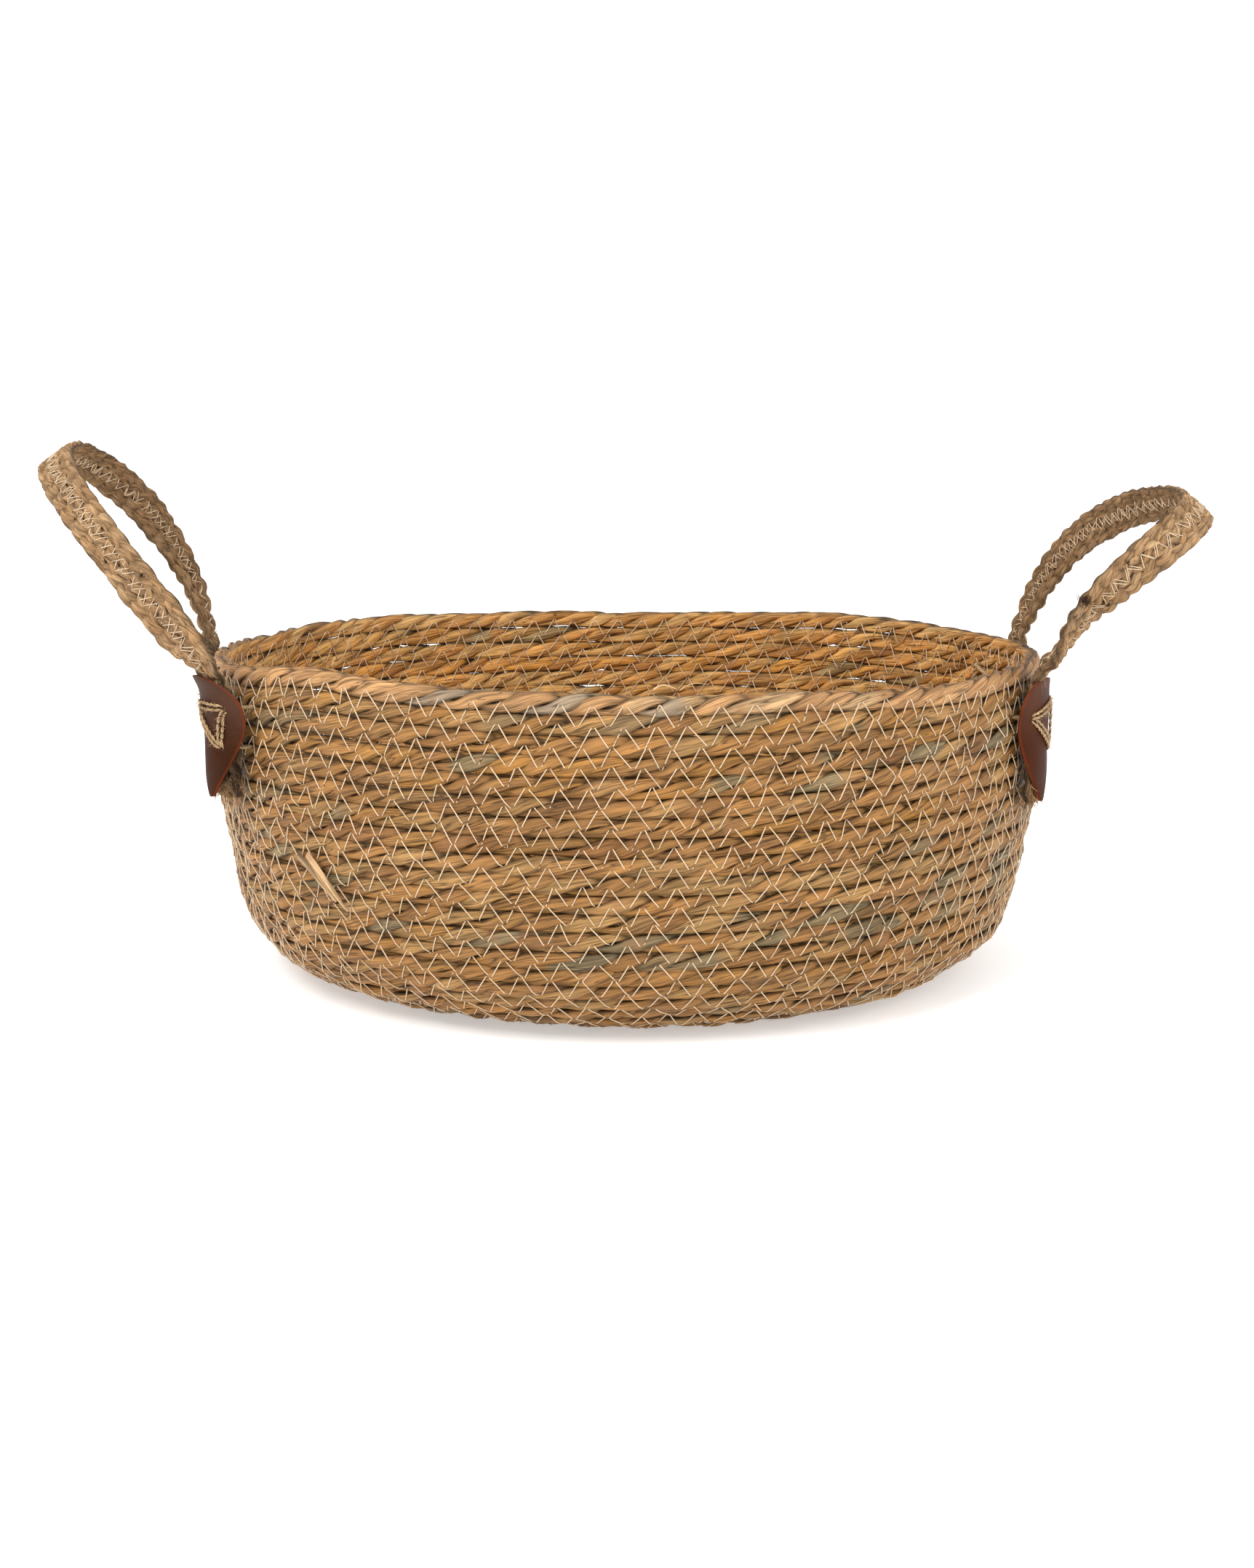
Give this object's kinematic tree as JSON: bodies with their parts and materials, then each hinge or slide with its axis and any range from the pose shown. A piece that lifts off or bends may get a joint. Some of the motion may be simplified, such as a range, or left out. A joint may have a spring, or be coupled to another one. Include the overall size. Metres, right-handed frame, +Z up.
{
  "type": "seagrass storage basket",
  "caption": "Low round storage basket of coiled, zigzag-sewn seagrass braid with standing jute strap handles sewn on under leather patches.",
  "frame": {"origin": "centre of the underside, on the basket's axis", "axes": "+Z up along the basket's axis; the handles stand at -X and +X; the front faces -Y"},
  "size_m": [0.4556, 0.3414, 0.2185],
  "materials": {
    "seagrass": "dry plaited seagrass, satin straw with brown and grey-green blades, sewn with pale cotton thread",
    "jute": "hairy plaited jute strap, zigzag sewn",
    "leather": "smooth dark brown leather with a reddish cut edge",
    "twine": "two-ply jute twine"
  },
  "bodies": {
    "root": {"base_course_01": "seagrass", "base_course_02": "seagrass", "base_course_03": "seagrass", "base_course_04": "seagrass", "base_course_05": "seagrass", "base_course_06": "seagrass", "base_course_07": "seagrass", "base_course_08": "seagrass", "base_course_09": "seagrass", "base_course_10": "seagrass", "base_course_11": "seagrass", "base_course_12": "seagrass", "base_course_13": "seagrass", "base_course_14": "seagrass", "base_course_15": "seagrass", "base_course_16": "seagrass", "leather_patch_left_far": "leather", "leather_patch_left_near": "leather", "leather_patch_right_far": "leather", "leather_patch_right_near": "leather", "rim_course": "seagrass", "strap_end_left_far": "jute", "strap_end_left_near": "jute", "strap_end_right_far": "jute", "strap_end_right_near": "jute", "twine_stitch_left_far": "twine", "twine_stitch_left_near": "twine", "twine_stitch_right_far": "twine", "twine_stitch_right_near": "twine", "wall_course_01": "seagrass", "wall_course_02": "seagrass", "wall_course_03": "seagrass", "wall_course_04": "seagrass", "wall_course_05": "seagrass", "wall_course_06": "seagrass", "wall_course_07": "seagrass", "wall_course_08": "seagrass", "wall_course_09": "seagrass", "wall_course_10": "seagrass", "wall_course_11": "seagrass", "wall_course_12": "seagrass", "wall_course_13": "seagrass", "wall_course_14": "seagrass", "wall_course_15": "seagrass", "wall_course_16": "seagrass", "wall_course_17": "seagrass", "wall_course_18": "seagrass", "wall_course_19": "seagrass", "wall_course_20": "seagrass", "wall_course_21": "seagrass"},
    "handle_left": {"handle_strap_left": "jute"},
    "handle_right": {"handle_strap_right": "jute"}
  },
  "joints": [
    {"name": "handle_left_swing", "type": "hinge", "parent": "root", "child": "handle_left", "pos_m": [-0.168, -0.03266, 0.13], "axis": [0.1908, -0.9816, 0], "range_deg": [-75, 53]},
    {"name": "handle_right_swing", "type": "hinge", "parent": "root", "child": "handle_right", "pos_m": [0.16467, -0.01586, 0.13], "axis": [0.0958, 0.9954, 0], "range_deg": [-58, 46]}
  ]
}
